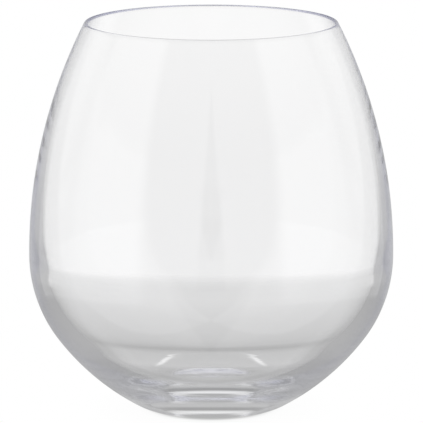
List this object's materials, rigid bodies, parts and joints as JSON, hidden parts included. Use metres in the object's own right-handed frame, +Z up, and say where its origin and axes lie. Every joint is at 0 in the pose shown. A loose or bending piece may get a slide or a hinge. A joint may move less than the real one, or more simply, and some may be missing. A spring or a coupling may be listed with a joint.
{
  "type": "stemless wine glass",
  "caption": "Stemless wine glass: a round clear bowl with a wide belly and a narrower mouth that stands on its own thick, rounded bottom.",
  "frame": {"origin": "centre of the standing ring, on the table plane under the middle of the bowl", "axes": "+Z up along the glass's axis; the glass is round, so X and Y are free, and the picture looks along +Y"},
  "size_m": [0.098, 0.098, 0.105],
  "materials": {
    "clear_glass": "polished"
  },
  "bodies": {
    "root": {"glass_body": "clear_glass"}
  },
  "joints": []
}
